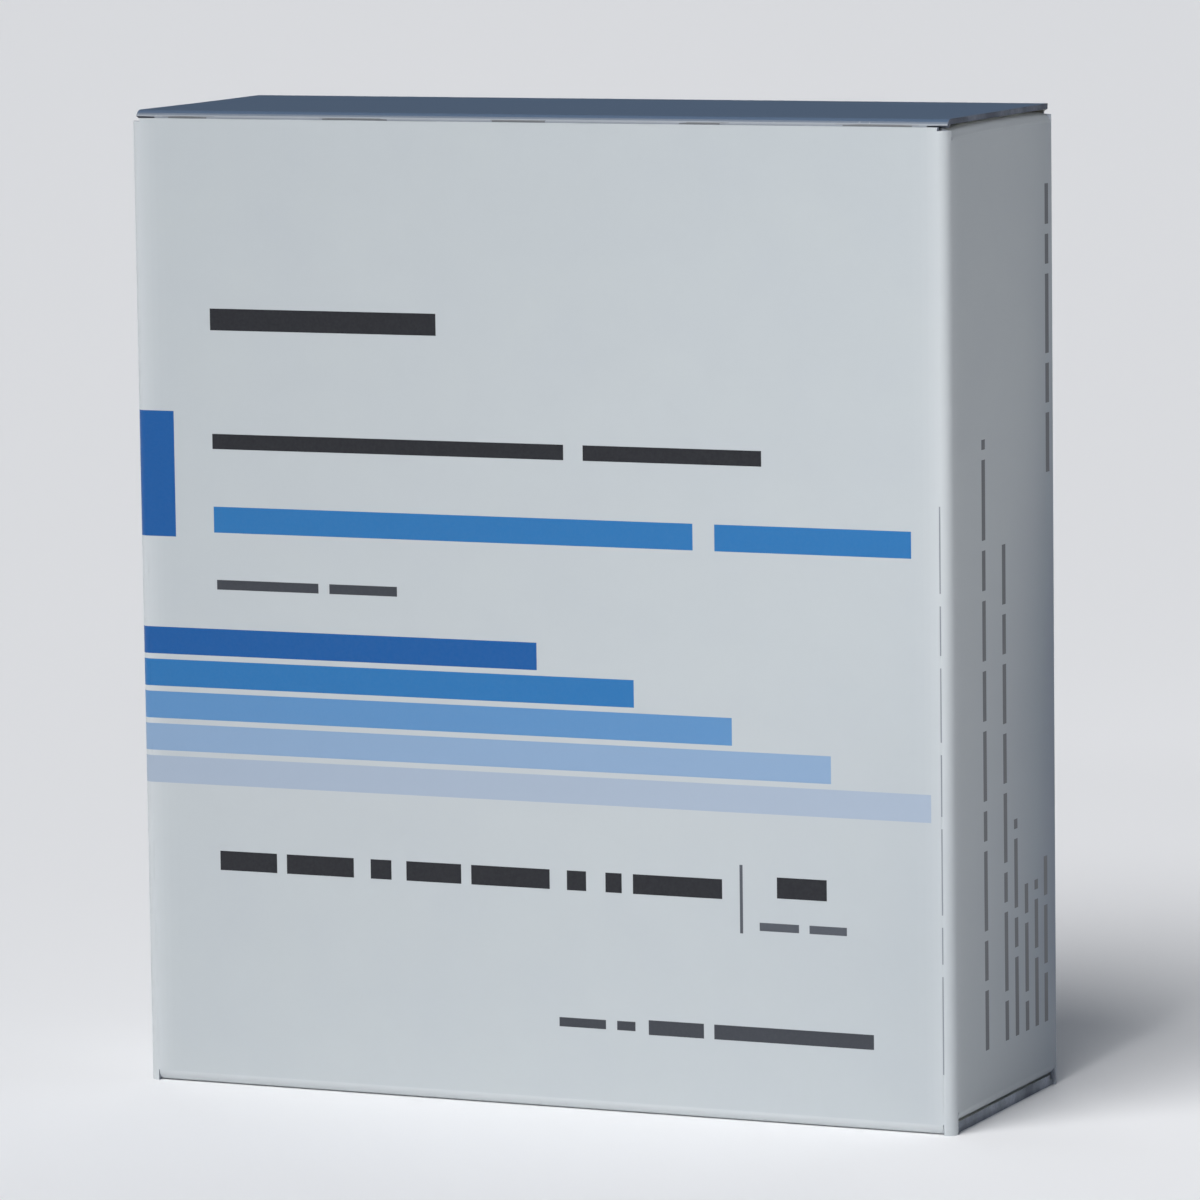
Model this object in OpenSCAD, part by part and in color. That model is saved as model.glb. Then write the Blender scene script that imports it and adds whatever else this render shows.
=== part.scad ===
// Tuck-top folding carton that holds a row of microscope slides standing on end.
// The origin is the middle of the base, +Z is up and the printed front faces -Y.
// All the folds of one sheet of board are modelled: four walls, a glue flap inside the
// left wall, glued bottom flaps, two top dust flaps, and the lid with its tuck.

/* [Slides] */
// Length of one slide, which stands upright
slide_l = 75; // [50:0.5:100]
// Width of one slide, from the carton's front to its back
slide_w = 25; // [20:0.5:40]
// Thickness of one slide
slide_t = 1; // [0.8:0.05:1.5]
// Number of slides in the row
slide_count = 72; // [56:1:110]
// Air between neighbouring slides
slide_gap = 0.08; // [0.04:0.01:0.3]
// Bevel ground along the edges of each slide
ground_edge = 0.15; // [0.05:0.01:0.3]

/* [Board] */
// Thickness of the board
board_t = 0.5; // [0.35:0.05:0.6]
// Outer radius of every fold
fold_r = 1; // [0.9:0.05:1.2]

/* [Fit] */
// Least play between the row of slides and what stands at each end of it
side_play = 0.41; // [0.2:0.01:3]
// Least play between the slides' long edges and the front and back walls
face_play = 0.5; // [0.2:0.05:3]
// Free height between the slides and the closed lid
headroom = 13; // [8:0.5:18]
// Clear height left between the tuck's tip and the slides
tuck_over = 0.7; // [0.4:0.1:2]

/* [Lid] */
// How far the lid and the two wide bottom flaps stop short of each side face
flap_side_gap = 0.3; // [0.2:0.05:0.8]
// Gap between the lid's underside and the dust flaps
lid_gap = 0.4; // [0.2:0.05:0.8]
// How far the front wall's cut edge stands below the lid's top
seam_drop = 0.7; // [0.6:0.05:0.9]
// Gap between the lid's front fold and the front wall
tuck_gap = 0.15; // [0.1:0.05:0.4]
// How far the tuck stops short of the corner folds at each side
tuck_inset = 1.2; // [1:0.1:4]
// Radius of the tuck's two corners
tuck_corner_r = 4; // [1:0.5:6]
// Distance of the lid's crease line from the back and from the top
crease_inset = 0.4; // [0.35:0.01:0.45]

/* [Flaps] */
// Length of the four dust flaps, from the side walls inwards
dust_l = 24; // [10:0.5:29]
// Corner cut off the free end of each dust flap
dust_corner = 3; // [1:0.5:6]
// Width of the glue flap inside the left wall
glue_w = 12; // [6:0.5:18]
// How much shorter the glue flap is at each end of its free edge
glue_taper = 3; // [1:0.5:8]
// Distance of the left wall's cut edge from the back face
glue_edge = 0.3; // [0.1:0.05:0.5]

/* [Hidden] */
$fn = 48;

// Row of slides
slide_pitch = slide_t + slide_gap;
stack_w = slide_count * slide_t + (slide_count - 1) * slide_gap;
// The glue flap takes one board off the room at the left
stack_x = board_t / 2;

// Room around the row: at least enough that every slide stands on the flat of the floor,
// clear of the hollow side of the folds, where the end slides' bevels may reach over
fold_in = fold_r - board_t;
side_room = max(side_play, fold_in - ground_edge);
face_room = max(face_play, fold_in);

// Levels of the glued bottom, from the base up: outer flap, inner flap, dust flaps
inner_flap_z = board_t;
bottom_dust_z = 2 * board_t;
floor_z = 3 * board_t;

// Outside of the closed carton
carton_w = stack_w + 2 * side_room + 3 * board_t;
carton_d = slide_w + 2 * face_room + 2 * board_t;
carton_h = floor_z + slide_l + headroom + board_t;
right_x = carton_w / 2;
back_y = carton_d / 2;

// Flat part of each wall, between its corner folds
flat_x = right_x - fold_r;
flat_y = back_y - fold_r;
flap_half = right_x - flap_side_gap;
glue_fold_x = -flat_x + board_t;

// Tops of the walls
corner_top = carton_h - fold_r;
front_top = carton_h - seam_drop;
dust_top = carton_h - board_t - lid_gap;
side_top = dust_top - fold_r;

// Lid: its crease line, its front fold, and the lean that lets the tuck swing
// past the front wall, which is the angle of a chord of the circle that it swings on
crease_y = back_y - crease_inset;
crease_z = carton_h - crease_inset;
lid_fold_y = -back_y + board_t + tuck_gap + fold_r;
lid_reach = crease_y - lid_fold_y + fold_r;
lean_spare = 1.5;
tuck_lean = asin(headroom / (2 * lid_reach)) + lean_spare;
tuck_half = flat_x - tuck_inset;
tuck_l = (headroom + board_t - tuck_over - fold_r * (1 + sin(tuck_lean))) / cos(tuck_lean);
lip_sweep = acos((fold_r - seam_drop + tuck_gap) / fold_r);

// Nearest that the tuck's inner face comes to the crease line, which the dust flaps clear
tuck_clear = 0.3;
tuck_near = (crease_y - lid_fold_y) * cos(tuck_lean)
    + (crease_z - corner_top) * sin(tuck_lean) + fold_in;
dust_front_y = crease_y - tuck_near + tuck_clear;
dust_shoulder = tuck_inset - tuck_clear;

// Turns a shape drawn in X and Y so that it lies in Y and Z and runs along X
module along_x() {
    rotate([90, 0, 90]) children();
}

// Turns a shape drawn in X and Y so that it lies in X and Z and runs towards -Y
module along_y() {
    rotate([90, 0, 0]) children();
}

// Bent strip of board about Z, from the direction of X through the sweep
module bend(sweep, length) {
    rotate_extrude(angle = sweep)
        translate([fold_in, 0])
            square([board_t, length]);
}

// Flat panel of board between two opposite corners
module panel(low, high) {
    translate(low) cube(high - low);
}

// Vertical fold between two levels at a corner of the carton, a quarter turn from the start angle
module corner_fold(x, y, start, low = 0, high = corner_top) {
    translate([x, y, low]) rotate([0, 0, start]) bend(90, high - low);
}

module walls() {
    panel([-flat_x, -back_y, fold_r], [flat_x, -back_y + board_t, front_top]);
    panel([glue_fold_x, back_y - board_t, inner_flap_z + fold_r], [flat_x, back_y, corner_top]);
    panel([right_x - board_t, -flat_y, bottom_dust_z + fold_r], [right_x, flat_y, side_top]);
    panel([-right_x, -flat_y, bottom_dust_z + fold_r],
        [-right_x + board_t, back_y - glue_edge, side_top]);
    corner_fold(flat_x, -flat_y, 270);
    corner_fold(-flat_x, -flat_y, 180);
    corner_fold(flat_x, flat_y, 0);
}

// The flap that joins the two ends of the sheet, glued inside the left wall, with its ends tapered
module glue_flap() {
    low = floor_z + fold_r;
    high = side_top - fold_r;
    corner_fold(glue_fold_x, flat_y, 90, low, high);
    translate([-right_x + board_t, 0, 0])
        along_x() linear_extrude(board_t) polygon([
            [flat_y, low],
            [flat_y, high],
            [flat_y - glue_w, high - glue_taper],
            [flat_y - glue_w, low + glue_taper],
        ]);
}

// Outline of a dust flap at the right, with its front and back edges at given places
module dust_outline(front, back) {
    tip = flat_x - dust_l;
    polygon([
        [flat_x, -flat_y],
        [flat_x - dust_shoulder, front],
        [tip + dust_corner, front],
        [tip, front + dust_corner],
        [tip, back - dust_corner],
        [tip + dust_corner, back],
        [flat_x, back],
    ]);
}

// Dust flap at the right with its fold: at the bottom the fold turns up to the wall
module bottom_dust_flap() {
    translate([flat_x, flat_y, bottom_dust_z + fold_r])
        along_y() rotate([0, 0, 270]) bend(90, 2 * flat_y);
    translate([0, 0, bottom_dust_z])
        linear_extrude(board_t) dust_outline(-flat_y, flat_y);
}

module top_dust_flap() {
    translate([flat_x, flat_y, side_top])
        along_y() bend(90, 2 * flat_y);
    translate([0, 0, dust_top - board_t])
        linear_extrude(board_t) dust_outline(dust_front_y, flat_y);
}

// The two wide bottom flaps, folded under from the back and then from the front
module bottom_flaps() {
    translate([glue_fold_x, flat_y, inner_flap_z + fold_r])
        along_x() rotate([0, 0, 270]) bend(90, flat_x - glue_fold_x);
    panel([-flap_half, -flat_y + fold_r, inner_flap_z], [flap_half, flat_y, bottom_dust_z]);
    translate([-flat_x, -flat_y, fold_r])
        along_x() rotate([0, 0, 180]) bend(90, 2 * flat_x);
    panel([-flap_half, -flat_y, 0], [flap_half, flat_y, board_t]);
}

module carton() {
    color("#cbd0d6") {
        walls();
        glue_flap();
        bottom_flaps();
        for (side = [0, 1]) {
            mirror([side, 0, 0]) {
                bottom_dust_flap();
                top_dust_flap();
            }
        }
    }
}

// Outline of the tuck, from its fold along X to its rounded tip
module tuck_outline() {
    straight = tuck_half - tuck_corner_r;
    translate([0, -tuck_half]) square([tuck_l - tuck_corner_r, 2 * tuck_half]);
    translate([0, -straight]) square([tuck_l, 2 * straight]);
    for (side = [-1, 1]) {
        translate([tuck_l - tuck_corner_r, side * straight]) circle(tuck_corner_r);
    }
}

// The tuck in the frame of its own plane, with its fold, which runs back to the middle of the lip
module tuck() {
    translate([0, 0, -tuck_half])
        mirror([0, 1, 0]) bend(90 + tuck_lean - lip_sweep / 2, 2 * tuck_half);
    translate([fold_in, 0, 0]) along_x() linear_extrude(board_t) tuck_outline();
}

module lid() {
    color("#4d6079") {
        panel([-flap_half, lid_fold_y, carton_h - board_t], [flap_half, flat_y, carton_h]);
        translate([-flap_half, lid_fold_y, corner_top])
            along_x() rotate([0, 0, 90]) bend(lip_sweep, 2 * flap_half);
        translate([0, lid_fold_y, corner_top]) along_x() rotate([0, 0, 180 + tuck_lean]) tuck();
    }
}

// Section of a slide across its thickness, with its edges ground off
module ground_section(length) {
    half_t = slide_t / 2;
    half_l = length / 2;
    polygon([
        [-half_t, ground_edge - half_l],
        [ground_edge - half_t, -half_l],
        [half_t - ground_edge, -half_l],
        [half_t, ground_edge - half_l],
        [half_t, half_l - ground_edge],
        [half_t - ground_edge, half_l],
        [ground_edge - half_t, half_l],
        [-half_t, half_l - ground_edge],
    ]);
}

// One slide standing on the floor of its own frame, its thickness along X
module slide() {
    intersection() {
        linear_extrude(slide_l) ground_section(slide_w);
        translate([0, slide_w / 2, slide_l / 2])
            along_y() linear_extrude(slide_w) ground_section(slide_l);
    }
}

function slide_x(i) = stack_x + (i - (slide_count - 1) / 2) * slide_pitch;

// A slide over a dust flap stands one board higher than one between the two flaps
function slide_z(i) = abs(slide_x(i)) + slide_t / 2 > flat_x - dust_l ? floor_z : bottom_dust_z;

module slides() {
    color("#c9dcd8") {
        for (i = [0 : slide_count - 1]) {
            translate([slide_x(i), 0, slide_z(i)]) slide();
        }
    }
}

carton();
lid();
slides();
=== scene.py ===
"""Visual model of a tuck-top folding carton that holds a row of microscope slides.

The carton and its lid are one creased and glued sheet of coated board. Each stretch of the sheet
is walked along its outline seen end-on, carried across its width as a numpy grid, welded to its
neighbours and given the board's thickness. A crease strip bends between the two bodies, and the
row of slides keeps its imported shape. Lengths are in millimetres until a mesh is made.
"""
import logging
import math
from dataclasses import dataclass, field
from enum import Enum
from typing import Any, Callable, Optional, Sequence

import bpy
import numpy as np
from mathutils import Matrix, Vector


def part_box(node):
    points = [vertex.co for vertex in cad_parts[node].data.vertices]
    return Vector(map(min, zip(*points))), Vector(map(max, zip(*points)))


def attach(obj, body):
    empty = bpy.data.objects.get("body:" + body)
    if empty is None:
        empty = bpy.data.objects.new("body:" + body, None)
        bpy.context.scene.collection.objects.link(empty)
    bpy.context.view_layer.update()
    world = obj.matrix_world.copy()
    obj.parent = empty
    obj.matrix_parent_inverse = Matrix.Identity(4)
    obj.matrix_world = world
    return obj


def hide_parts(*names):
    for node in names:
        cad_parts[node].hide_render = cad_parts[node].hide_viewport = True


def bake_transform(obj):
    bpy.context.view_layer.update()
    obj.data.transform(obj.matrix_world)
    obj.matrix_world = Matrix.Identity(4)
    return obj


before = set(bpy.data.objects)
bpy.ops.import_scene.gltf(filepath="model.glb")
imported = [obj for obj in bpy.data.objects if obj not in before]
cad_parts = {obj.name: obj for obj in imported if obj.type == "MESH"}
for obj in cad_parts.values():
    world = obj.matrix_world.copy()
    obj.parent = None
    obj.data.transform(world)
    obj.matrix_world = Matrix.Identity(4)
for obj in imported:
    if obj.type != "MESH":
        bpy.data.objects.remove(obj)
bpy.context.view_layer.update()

MM = 0.001
QUARTER = 90.0
# Places nearer to each other than this are one place, in mm
SAME = 1e-6
# An edge of the print gets a grid line of its own unless a fixed one is this near, in mm
PRINT_NEAREST = 0.02
# A face looks along an axis when that share of its normal is over this
SQUARE_ON = 0.99

log = logging.getLogger("slide_carton")


# ---------------------------------------------------------------- colours and nodes


def linear(code: str) -> tuple[float, float, float, float]:
    """Turns a colour written as #rrggbb in sRGB into Blender's linear colour, with an alpha of 1."""
    shares = [int(code[i:i + 2], 16) / 255 for i in (1, 3, 5)]
    return (*[s / 12.92 if s <= 0.04045 else ((s + 0.055) / 1.055) ** 2.4 for s in shares], 1.0)


def add(tree: bpy.types.NodeTree, kind: str, feeds: Optional[dict] = None,
        **settings: Any) -> bpy.types.Node:
    """Adds one node with its settings, its socket values and its links.

    Args:
        tree: The node tree to add to.
        kind: The node's type name.
        feeds: Socket name or number to a plain value, or to the output socket that feeds it.
        **settings: The node's own properties.

    Returns:
        The new node.
    """
    node = tree.nodes.new(kind)
    for name, value in settings.items():
        setattr(node, name, value)
    for name, value in (feeds or {}).items():
        if isinstance(value, bpy.types.NodeSocket):
            tree.links.new(value, node.inputs[name])
        else:
            node.inputs[name].default_value = value
    return node


def blank_material(name: str) -> tuple[bpy.types.Material, bpy.types.NodeTree]:
    """Makes a material with an empty node tree.

    Args:
        name: The material's name.

    Returns:
        The material and its node tree.
    """
    material = bpy.data.materials.new(name)
    material.use_nodes = True
    material.node_tree.nodes.clear()
    return material, material.node_tree


def new_object(name: str, data: bpy.types.ID) -> bpy.types.Object:
    """Makes an object at the origin and puts it in the scene.

    Args:
        name: The object's name.
        data: Its mesh, light or camera.

    Returns:
        The object.
    """
    made = bpy.data.objects.new(name, data)
    bpy.context.scene.collection.objects.link(made)
    return made


# ---------------------------------------------------------------- finishes


@dataclass(frozen=True)
class CoatedBoard:
    """Solid bleached board, clay coated, offset printed and varnished on its outer face.

    It gives a cool satin white with a faint cloudy mottle, ink that is a touch uneven, and
    bare fibre in broken slivers where the ink has rubbed off along the folds. It also has a painted
    highlight beside each fold, and a painted slate shade and reflection on the right wall.
    """

    name: str = "clay_coated_board_offset_printed"
    white: str = "#c3c9cb"
    cloud: str = "#bfc5c9"
    # Painted highlight: a paler tone in a broad band beside every fold
    fold_highlight: str = "#d6dadc"
    fibre: str = "#d0d1d0"
    # Painted shade and reflection: slate on the right wall, darker towards its back fold and its foot
    painted_shade: str = "#50667f"
    cloud_size: float = 7.0
    # Paper fibre is about 0.03 mm wide; drawn ten times as coarse so that it shows
    fibre_size: float = 0.3
    sliver_size: float = 0.5
    sliver_length: float = 2.2
    wave_size: float = 11.0
    # The noise of the slivers has to pass from one of these to the other for the ink to be gone
    worn_from: float = 1.71
    worn_to: float = 1.78
    patchiness: float = 0.8
    rub_weight: float = 0.6

    def material(self) -> bpy.types.Material:
        """Makes the board's material, which reads the print, the painted shade and the wear and painted
        highlight from the mesh.

        Returns:
            The material.
        """
        material, tree = blank_material(self.name)
        place = add(tree, "ShaderNodeTexCoord").outputs["Object"]
        ink = add(tree, "ShaderNodeAttribute", attribute_name="ink").outputs["Vector"]
        cover, wear_and_highlight, shade_share = (add(tree, "ShaderNodeAttribute", attribute_name=name).outputs["Fac"]
                            for name in ("cover", "wear_and_highlight", "shade_share"))
        drawn = add(tree, "ShaderNodeMapping", {
            "Vector": place, "Scale": (1.0, 1.0, self.sliver_size / self.sliver_length)}).outputs[0]
        clouds, slivers, fibres, waves = (
            add(tree, "ShaderNodeTexNoise", {"Vector": vector, "Scale": 1 / (size * MM), "Detail": detail,
                                             "Roughness": roughness}).outputs[0]
            for vector, size, detail, roughness in (
                (place, self.cloud_size, 2.0, 0.5), (drawn, self.sliver_size, 3.0, 0.6),
                (place, self.fibre_size, 3.0, 0.65), (place, self.wave_size, 1.0, 0.5)))
        # Worn where the slivers' noise passes a threshold that the rub lowers, in patches
        patchy = add(tree, "ShaderNodeMath", {0: clouds, 1: self.patchiness, 2: slivers},
                     operation="MULTIPLY_ADD").outputs[0]
        raised = add(tree, "ShaderNodeMath", {0: wear_and_highlight, 1: self.rub_weight, 2: patchy},
                     operation="MULTIPLY_ADD").outputs[0]
        worn = add(tree, "ShaderNodeMapRange", {"Value": raised, "From Min": self.worn_from,
                                                "From Max": self.worn_to}).outputs[0]
        kept = add(tree, "ShaderNodeMath", {0: 1.0, 1: worn}, operation="SUBTRACT").outputs[0]
        printed = add(tree, "ShaderNodeMath", {0: cover, 1: kept}, operation="MULTIPLY").outputs[0]
        # Solid ink thins a little over the board's fibres
        thin = add(tree, "ShaderNodeMapRange", {"Value": fibres, "From Min": 0.3, "From Max": 0.7,
                                                "To Min": 0.985, "To Max": 1.0}).outputs[0]
        laid = add(tree, "ShaderNodeMath", {0: printed, 1: thin}, operation="MULTIPLY").outputs[0]
        # Painted highlight: the root widens the bell curve, so the coating is paler in a broad band beside
        # every fold
        highlight_reach = add(tree, "ShaderNodeMath", {0: wear_and_highlight, 1: 0.25}, operation="POWER").outputs[0]
        highlight_share = add(tree, "ShaderNodeMapRange", {"Value": highlight_reach, "To Max": 0.6}).outputs[0]
        # From the white up: its clouds, the painted highlight beside the folds, the painted shade and
        # reflection, bare fibre and the ink
        colour = linear(self.white)
        for share, over in ((clouds, linear(self.cloud)), (highlight_share, linear(self.fold_highlight)),
                            (shade_share, linear(self.painted_shade)), (worn, linear(self.fibre)), (laid, ink)):
            colour = add(tree, "ShaderNodeMix", {0: share, 6: colour, 7: over}, data_type="RGBA").outputs[2]
        gloss = add(tree, "ShaderNodeMapRange", {"Value": worn, "To Min": 0.4, "To Max": 0.75}).outputs[0]
        ripple = add(tree, "ShaderNodeBump", {"Height": waves, "Strength": 0.25, "Distance": 0.15 * MM})
        grain = add(tree, "ShaderNodeBump", {"Height": fibres, "Strength": 0.1, "Distance": 0.05 * MM,
                                             "Normal": ripple.outputs[0]})
        shader = add(tree, "ShaderNodeBsdfPrincipled", {
            "Base Color": colour, "Roughness": gloss, "Normal": grain.outputs[0], "IOR": 1.42,
            "Coat Weight": 0.1, "Coat Roughness": 0.25})
        add(tree, "ShaderNodeOutputMaterial", {"Surface": shader.outputs[0]})
        return material


@dataclass(frozen=True)
class BareBoard:
    """The same board's uncoated back: matt, a warmer white, with fibres that run along the sheet."""

    name: str = "bleached_board_uncoated"
    pale: str = "#dcdad3"
    dark: str = "#c9c6bc"
    # A fibre is 1 to 3 mm long; its width is drawn coarse enough to show
    fibre_length: float = 2.4
    fibre_width: float = 0.35

    def material(self) -> bpy.types.Material:
        """Makes the material, with its fibres drawn out along Z by the mapping's scale.

        Returns:
            The material.
        """
        material, tree = blank_material(self.name)
        place = add(tree, "ShaderNodeTexCoord").outputs["Object"]
        drawn = add(tree, "ShaderNodeMapping", {
            "Vector": place,
            "Scale": (1 / self.fibre_width, 1 / self.fibre_width, 1 / self.fibre_length)}).outputs[0]
        fibres = add(tree, "ShaderNodeTexNoise", {"Vector": drawn, "Scale": 1 / MM, "Detail": 4.0,
                                                  "Roughness": 0.7}).outputs[0]
        depth = add(tree, "ShaderNodeMapRange", {"Value": fibres, "From Min": 0.35,
                                                 "From Max": 0.65}).outputs[0]
        colour = add(tree, "ShaderNodeMix", {0: depth, 6: linear(self.dark), 7: linear(self.pale)},
                     data_type="RGBA").outputs[2]
        felt = add(tree, "ShaderNodeBump", {"Height": fibres, "Strength": 0.3, "Distance": 0.06 * MM})
        shader = add(tree, "ShaderNodeBsdfPrincipled", {
            "Base Color": colour, "Normal": felt.outputs[0], "Roughness": 0.88, "IOR": 1.45})
        add(tree, "ShaderNodeOutputMaterial", {"Surface": shader.outputs[0]})
        return material


@dataclass(frozen=True)
class CutEdge:
    """The board's die-cut edge: crushed layers of bare fibre, matt, with painted shade in stretches of it.

    It draws a thin line along each seam, darker in those stretches, as painted shade.
    """

    name: str = "board_edge_die_cut"
    # Lighter and bluer than bare fibre: painted light and a painted slate reflection on the cut edges in
    # the shade at the carton's foot
    pale: str = "#c6ccd6"
    dark: str = "#aeb4be"
    # Painted shade along the seams, in stretches
    seam_shade: str = "#7f858f"
    tuft_size: float = 0.45
    shade_patch_size: float = 4.0

    def material(self) -> bpy.types.Material:
        """Makes the edge's material from a noise at the size of its torn tufts and one for the painted
        shade.

        Returns:
            The material.
        """
        material, tree = blank_material(self.name)
        place = add(tree, "ShaderNodeTexCoord").outputs["Object"]
        tufts = add(tree, "ShaderNodeTexNoise", {"Vector": place, "Scale": 1 / (self.tuft_size * MM),
                                                 "Detail": 4.0, "Roughness": 0.7}).outputs[0]
        shade_patches = add(tree, "ShaderNodeTexNoise", {"Vector": place, "Scale": 1 / (self.shade_patch_size * MM),
                                                  "Detail": 2.0}).outputs[0]
        depth = add(tree, "ShaderNodeMapRange", {"Value": tufts, "From Min": 0.35,
                                                 "From Max": 0.65}).outputs[0]
        shaded_share = add(tree, "ShaderNodeMapRange", {"Value": shade_patches, "From Min": 0.38, "From Max": 0.62,
                                                 "To Max": 0.85}).outputs[0]
        fresh = add(tree, "ShaderNodeMix", {0: depth, 6: linear(self.dark), 7: linear(self.pale)},
                    data_type="RGBA").outputs[2]
        colour = add(tree, "ShaderNodeMix", {0: shaded_share, 6: fresh, 7: linear(self.seam_shade)},
                     data_type="RGBA").outputs[2]
        torn = add(tree, "ShaderNodeBump", {"Height": tufts, "Strength": 0.4, "Distance": 0.1 * MM})
        shader = add(tree, "ShaderNodeBsdfPrincipled", {
            "Base Color": colour, "Normal": torn.outputs[0], "Roughness": 0.92, "IOR": 1.45})
        add(tree, "ShaderNodeOutputMaterial", {"Surface": shader.outputs[0]})
        return material


@dataclass(frozen=True)
class SlideGlass:
    """Drawn soda-lime glass with ground edges and one acid-frosted end.

    The faces are clear, the ground edges pale green and matt, and the frosted end milky.
    """

    name: str = "soda_lime_glass_ground_and_frosted"
    clear: str = "#eef6f3"
    edge: str = "#bfd6cd"
    frost: str = "#e4ece9"
    frost_from: float = 57.0
    grit_size: float = 0.12

    def material(self) -> bpy.types.Material:
        """Makes the glass: edges by the surface's own normal, and frost by height on the slide.

        Returns:
            The material.
        """
        material, tree = blank_material(self.name)
        place = add(tree, "ShaderNodeTexCoord").outputs["Object"]
        height = add(tree, "ShaderNodeSeparateXYZ", {0: place}).outputs["Z"]
        facing = add(tree, "ShaderNodeSeparateXYZ",
                     {0: add(tree, "ShaderNodeNewGeometry").outputs["True Normal"]}).outputs["X"]
        flat = add(tree, "ShaderNodeMath", {0: facing}, operation="ABSOLUTE").outputs[0]
        ground = add(tree, "ShaderNodeMath", {0: flat, 1: 0.95}, operation="LESS_THAN").outputs[0]
        frosted = add(tree, "ShaderNodeMath", {0: height, 1: self.frost_from * MM},
                      operation="GREATER_THAN").outputs[0]
        matt = add(tree, "ShaderNodeMath", {0: ground, 1: frosted}, operation="MAXIMUM").outputs[0]
        grit = add(tree, "ShaderNodeTexNoise", {"Vector": place, "Scale": 1 / (self.grit_size * MM),
                                                "Detail": 2.0}).outputs[0]
        body = add(tree, "ShaderNodeMix", {0: frosted, 6: linear(self.clear), 7: linear(self.frost)},
                   data_type="RGBA").outputs[2]
        colour = add(tree, "ShaderNodeMix", {0: ground, 6: body, 7: linear(self.edge)},
                     data_type="RGBA").outputs[2]
        rough = add(tree, "ShaderNodeMapRange", {"Value": matt, "To Min": 0.03, "To Max": 0.5}).outputs[0]
        through = add(tree, "ShaderNodeMapRange", {"Value": matt, "To Min": 0.95, "To Max": 0.3}).outputs[0]
        pitted = add(tree, "ShaderNodeMath", {0: grit, 1: matt}, operation="MULTIPLY").outputs[0]
        pits = add(tree, "ShaderNodeBump", {"Height": pitted, "Strength": 0.3, "Distance": 0.03 * MM})
        shader = add(tree, "ShaderNodeBsdfPrincipled", {
            "Base Color": colour, "Roughness": rough, "Transmission Weight": through,
            "Normal": pits.outputs[0], "IOR": 1.52})
        add(tree, "ShaderNodeOutputMaterial", {"Surface": shader.outputs[0]})
        return material


@dataclass(frozen=True)
class StudioPaper:
    """Matt white background paper, rolled out smooth: it only carries the carton's soft shadow."""

    name: str = "background_paper_matt"
    colour: str = "#f4f4f5"

    def material(self) -> bpy.types.Material:
        """Makes the paper's plain material.

        Returns:
            The material.
        """
        material, tree = blank_material(self.name)
        shader = add(tree, "ShaderNodeBsdfPrincipled", {
            "Base Color": linear(self.colour), "Roughness": 0.95, "Specular IOR Level": 0.2})
        add(tree, "ShaderNodeOutputMaterial", {"Surface": shader.outputs[0]})
        return material


# ---------------------------------------------------------------- print


class Ink(Enum):
    """The printing inks, as solid colours on the coating, and the blue's screened tints, with the colours
    of painted shade and reflection.
    """

    BLACK = "#1c1d23"
    GREY = "#3a3d44"
    SMALL = "#50545c"
    BLUE = "#00569c"
    BLUE_80 = "#2371af"
    BLUE_60 = "#5c8ebf"
    BLUE_35 = "#8aa6c6"
    BLUE_20 = "#a6b4c6"
    # Painted shade and reflection on the lid's top, with two paler steps over its front fold
    LID_SHADE = "#556880"
    LID_SHADE_60 = "#6e7988"
    LID_SHADE_40 = "#8b929b"
    # Painted shade in the score line beside the right fold
    SCORE_SHADE = "#8b9097"
    # Painted shade in the seam below the lid's lip
    SEAM_SHADE = "#5e6266"


@dataclass(frozen=True)
class Block:
    """A rectangle of ink on the flat sheet, in mm."""

    left: float
    right: float
    low: float
    high: float
    ink: Ink


@dataclass
class Artwork:
    """What is printed on one sheet: plain rectangles, the later ones over the earlier."""

    blocks: list[Block] = field(default_factory=list)

    def bar(self, ink: Ink, middle: float, height: float, *words: tuple[float, float]) -> None:
        """Prints one line of plain bars round its middle height, each from its left to its right end."""
        for left, right in words:
            self.blocks.append(Block(left, right, middle - height / 2, middle + height / 2, ink))

    def edges(self, across: bool) -> np.ndarray:
        """Where the rectangles begin and end, across the sheet or up it."""
        pairs = [(b.left, b.right) if across else (b.low, b.high) for b in self.blocks]
        return np.unique(np.round(np.array(pairs, float).ravel(), 4))

    def printed(self, across: np.ndarray, up: np.ndarray) -> tuple[np.ndarray, np.ndarray]:
        """What is printed at each of many points.

        Args:
            across: The points' places across the sheet.
            up: Their heights on it.

        Returns:
            The ink's linear colour, and how much of the board it covers.
        """
        colour = np.ones((len(across), 3))
        cover = np.zeros(len(across))
        for b in self.blocks:
            inside = (across > b.left) & (across < b.right) & (up > b.low) & (up < b.high)
            colour[inside] = linear(b.ink.value)[:3]
            cover[inside] = 1.0
        return colour, cover


def word_lengths(start: float, end: float, pitch: float, first: int) -> list[tuple[float, float]]:
    """Breaks a line into bars of uneven length, one pitch apart, for lines of small print.

    Args:
        start: Where the line begins.
        end: Where it must have ended.
        pitch: The step that every length is a multiple of.
        first: Which length of the cycle comes first.

    Returns:
        The start and end of each bar.
    """
    cycle = (6, 4, 8, 3, 7, 5)
    words = []
    at = round(start / pitch)
    last = round(end / pitch)
    while at < last:
        stop = min(at + cycle[(first + len(words)) % len(cycle)], last)
        words.append((at * pitch, stop * pitch))
        at = stop + 1
    return words


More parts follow.
